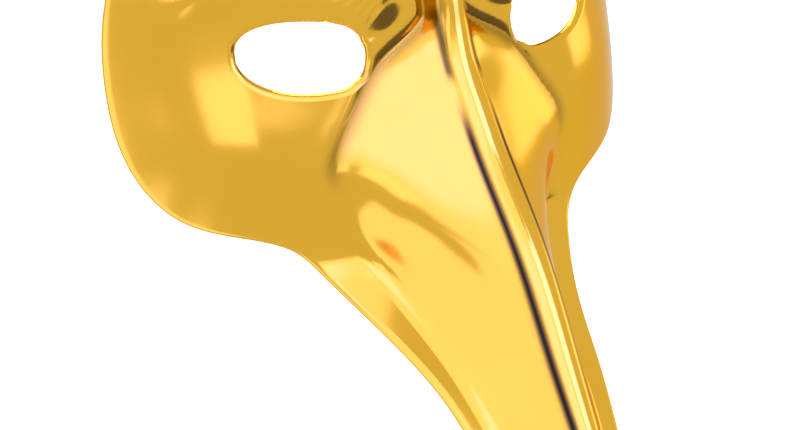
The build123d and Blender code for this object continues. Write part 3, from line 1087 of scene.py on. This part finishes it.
@dataclass(frozen=True)
class Softbox:
    """A rectangular light: where it stands as seen from the mask, its size, and its strength."""

    name: str
    azimuth: float
    elevation: float
    distance: float
    width: float
    height: float
    watts: float

    def build(self, aim: Vector) -> bpy.types.Object:
        """Make the light, facing a point on the mask.

        Args:
            aim: The point that it faces.

        Returns:
            The light's object.
        """
        light = bpy.data.lights.new(self.name, "AREA")
        light.shape = "RECTANGLE"
        light.size = self.width
        light.size_y = self.height
        light.energy = self.watts
        a, e = math.radians(self.azimuth), math.radians(self.elevation)
        away = Vector((math.sin(a) * math.cos(e), -math.cos(a) * math.cos(e), math.sin(e)))
        turn = away.to_track_quat("Z", "Y").to_matrix().to_4x4()
        piece = bpy.data.objects.new(self.name, light)
        piece.matrix_world = Matrix.Translation(aim + away * self.distance) @ turn
        bpy.context.scene.collection.objects.link(piece)
        return piece


@dataclass(frozen=True)
class WallPanel:
    """A lit or black panel of the studio's walls, by the directions that it spans, in degrees.

    Its light is cool, because the gold lacquer takes most of the blue out of what it reflects.
    """

    azimuths: tuple[float, float]
    elevations: tuple[float, float]
    strength: float
    tint: tuple[float, float, float] = (1.0, 1.0, 1.9)
    edge: float = 2.5

    def over(self, tree: bpy.types.NodeTree, azimuth: bpy.types.NodeSocket, elevation: bpy.types.NodeSocket,
             behind: bpy.types.NodeSocket) -> bpy.types.NodeSocket:
        """Put the panel over what is behind it, with a soft edge.

        The cover is the product of two smooth steps, of how far a direction lies inside the span of
        azimuths and inside the span of elevations.

        Args:
            tree: The world's node tree.
            azimuth: Direction's azimuth, in radians.
            elevation: Its elevation, in radians.
            behind: Colour behind the panel.

        Returns:
            The new colour.
        """
        covers = []
        for angle, (low, high) in ((azimuth, self.azimuths), (elevation, self.elevations)):
            middle, half = math.radians(low + high) / 2, math.radians(high - low) / 2
            off = add_node(tree, "Math", {"operation": "SUBTRACT"}, {0: angle, 1: middle})
            size = add_node(tree, "Math", {"operation": "ABSOLUTE"}, {0: off.outputs[0]})
            covers.append(add_node(tree, "MapRange", {"interpolation_type": "SMOOTHSTEP"}, {
                "Value": size.outputs[0], "From Min": half - math.radians(self.edge) / 2,
                "From Max": half + math.radians(self.edge) / 2, "To Min": 1.0, "To Max": 0.0}))
        cover = add_node(tree, "Math", {"operation": "MULTIPLY"}, {
            0: covers[0].outputs["Result"], 1: covers[1].outputs["Result"]})
        colour = (*[self.strength * part for part in self.tint], 1.0)
        return add_node(tree, "Mix", {"data_type": "RGBA"}, {
            "Factor": cover.outputs[0], "A": behind, "B": colour}).outputs["Result"]


@dataclass(frozen=True)
class Studio:
    """White studio: floor, backdrop light, surroundings with lit panels, and the camera."""

    azimuth: float = -29.0
    elevation: float = 14.0
    roll: float = 5.5
    distance: float = 1.5
    lens_mm: float = 222.75
    aim_mm: tuple[float, float, float] = (-23.0, -1.8, -50.9)
    backdrop_light: Softbox = Softbox("backdrop_light", 170, 60, 2.6, 2.5, 1.0, 60)
    light_aim: tuple[float, float, float] = (0.0, 0.0, -0.05)
    # Brightness of the room to the gloss, of the even fill to matt surfaces, and of the background.
    surroundings: float = 0.72
    fill: float = 1.05
    background: float = 1.2
    # Floor, in metres: half width, nearest and furthest edge, drop under the tip, rise at the back.
    floor_half: float = 6.0
    floor_near: float = -3.0
    floor_far: float = 8.0
    floor_gap: float = 0.004
    floor_rise: float = 2.2
    panels: tuple[WallPanel, ...] = (
        WallPanel((-107, 12), (-1, 76), 1.32, edge=9),
        WallPanel((-107, -82), (-8, 1), 1.3, edge=4),
        WallPanel((-66, -12), (9, 40), 1.55, (1.0, 1.0, 3.4), edge=12),
        WallPanel((-69, -47), (-9.5, 3), 1.45),
        WallPanel((2, 34), (-9, 4), 1.3),
        WallPanel((-125, -95), (-62, 3), 1.3),
        WallPanel((-97, -86), (-62, -20), 1.3, edge=5),
        WallPanel((-88, -74), (-62, -29), 1.3, edge=7),
        WallPanel((0, 34), (-7, 42), 1.9, (1.0, 1.0, 4.5)),
        WallPanel((80, 105), (-9, 6), 1.5),
        WallPanel((14, 72), (-46, -20), 0.14),
    )

    def camera(self) -> None:
        """Place the camera: back from the nose bridge along the view, turned to its aim, and rolled."""
        a, e, r = (math.radians(angle) for angle in (self.azimuth, self.elevation, self.roll))
        back = Vector((math.sin(a) * math.cos(e), -math.cos(a) * math.cos(e), math.sin(e)))
        right = Vector((math.cos(a), math.sin(a), 0.0))
        up = back.cross(right)
        place = back * self.distance
        z_axis = (place - Vector(self.aim_mm) * MM).normalized()
        rolled = right * math.cos(r) - up * math.sin(r)
        x_axis = (rolled - z_axis * rolled.dot(z_axis)).normalized()
        y_axis = z_axis.cross(x_axis)
        data = bpy.data.cameras.new("camera")
        data.lens = self.lens_mm
        data.sensor_width = 36.0
        camera = bpy.data.objects.new("camera", data)
        turn = Matrix((x_axis, y_axis, z_axis)).transposed().to_4x4()
        camera.matrix_world = Matrix.Translation(place) @ turn
        bpy.context.scene.collection.objects.link(camera)
        bpy.context.scene.camera = camera

    def floor(self) -> None:
        """Pale seamless floor that curves up far behind the mask, just under the beak's tip."""
        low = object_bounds()[0][2] - self.floor_gap
        run = np.linspace(0, 1, 60)[:, None]
        wide = np.linspace(-self.floor_half, self.floor_half, 13)[None, :]
        depth = self.floor_near + (self.floor_far - self.floor_near) * run
        rise = low + self.floor_rise * ease((run - 0.6) / 0.4)
        points = np.stack(np.broadcast_arrays(wide, depth, rise), -1) / MM
        material, tree = new_material("floor_paper")
        place = add_node(tree, "TexCoord").outputs["Object"]
        fibre = add_node(tree, "TexNoise", inputs={"Vector": place, "Scale": 400.0, "Detail": 2.0})
        bump = add_node(tree, "Bump", inputs={"Height": fibre.outputs["Fac"], "Distance": 0.00002})
        finish_surface(tree, {
            "Base Color": linear("#f4f4f3"), "Roughness": 0.85, "Normal": bump.outputs["Normal"]})
        floor = make_piece("floor", Patch.from_grid(points, flip=False), [material])
        floor.visible_glossy = False
        floor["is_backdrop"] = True

    def world(self) -> None:
        """Surroundings: white to the camera, an even fill to matt surfaces, and lit panels to the gloss."""
        world = bpy.data.worlds.new("studio")
        world.use_nodes = True
        tree = world.node_tree
        tree.nodes.clear()
        away = add_node(tree, "SeparateXYZ", inputs={0: add_node(tree, "TexCoord").outputs["Generated"]})
        front = add_node(tree, "Math", {"operation": "MULTIPLY"}, {0: away.outputs["Y"], 1: -1.0})
        azimuth = add_node(tree, "Math", {"operation": "ARCTAN2"}, {0: away.outputs["X"], 1: front.outputs[0]})
        elevation = add_node(tree, "Math", {"operation": "ARCSINE"}, {0: away.outputs["Z"]})
        light = add_node(tree, "RGB")
        light.outputs[0].default_value = (*[self.surroundings] * 3, 1.0)
        light = light.outputs[0]
        for panel in self.panels:
            light = panel.over(tree, azimuth.outputs[0], elevation.outputs[0], light)
        path = add_node(tree, "LightPath")
        panels = add_node(tree, "Background", inputs={"Color": light, "Strength": 1.0})
        fill = add_node(tree, "Background", inputs={"Color": (1.0, 1.0, 1.0, 1.0), "Strength": self.fill})
        room = add_node(tree, "MixShader", inputs={
            "Fac": path.outputs["Is Diffuse Ray"], 1: panels.outputs["Background"],
            2: fill.outputs["Background"]})
        white = add_node(tree, "Background", inputs={
            "Color": (1.0, 1.0, 1.0, 1.0), "Strength": self.background})
        mix = add_node(tree, "MixShader", inputs={
            "Fac": path.outputs["Is Camera Ray"], 1: room.outputs["Shader"], 2: white.outputs["Background"]})
        add_node(tree, "OutputWorld", inputs={"Surface": mix.outputs["Shader"]})
        bpy.context.scene.world = world

    def build(self) -> None:
        """Make the whole stage."""
        self.floor()
        self.world()
        self.backdrop_light.build(Vector(self.light_aim))
        self.camera()
        bpy.context.scene.view_settings.view_transform = "Standard"
        LOG.info("stage ready")


def dress(node: str, material: bpy.types.Material) -> None:
    """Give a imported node's object its finish."""
    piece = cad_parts[node]
    piece.data.materials.clear()
    piece.data.materials.append(material)
    LOG.info("%s dressed in %s", node, material.name)


def main() -> None:
    """Build the pieces, then the stage."""
    logging.basicConfig(level=logging.INFO, format="%(name)s: %(message)s")
    form = MaskForm()
    shell = MaskShell(form)
    shell.build([MetallisedGold().build(), InnerSkin().build()])
    cloth = PadCloth().build()
    FoamPad("forehead_foam", "forehead_pad", shell, Side.LEFT, (0.35, 1.5), (-0.5, 0.5)).build(cloth)
    for side in Side:
        node = "cheek_pad_" + side.name.lower()
        FoamPad("cheek_foam_" + side.name.lower(), node, shell, side, (5.7, 7.4), (0.5, 0.8)).build(cloth)
    strap = HeadStrap(form).build(WovenElastic().build())
    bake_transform(strap)
    rivet = PlatedRivet().build()
    for side in Side:
        dress("rivet_" + side.name.lower(), rivet)
        dress("washer_" + side.name.lower(), rivet)
    dress("strap_slider", MouldedNylon().build())
    Studio().build()
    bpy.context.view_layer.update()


if __name__ == "__main__":
    main()
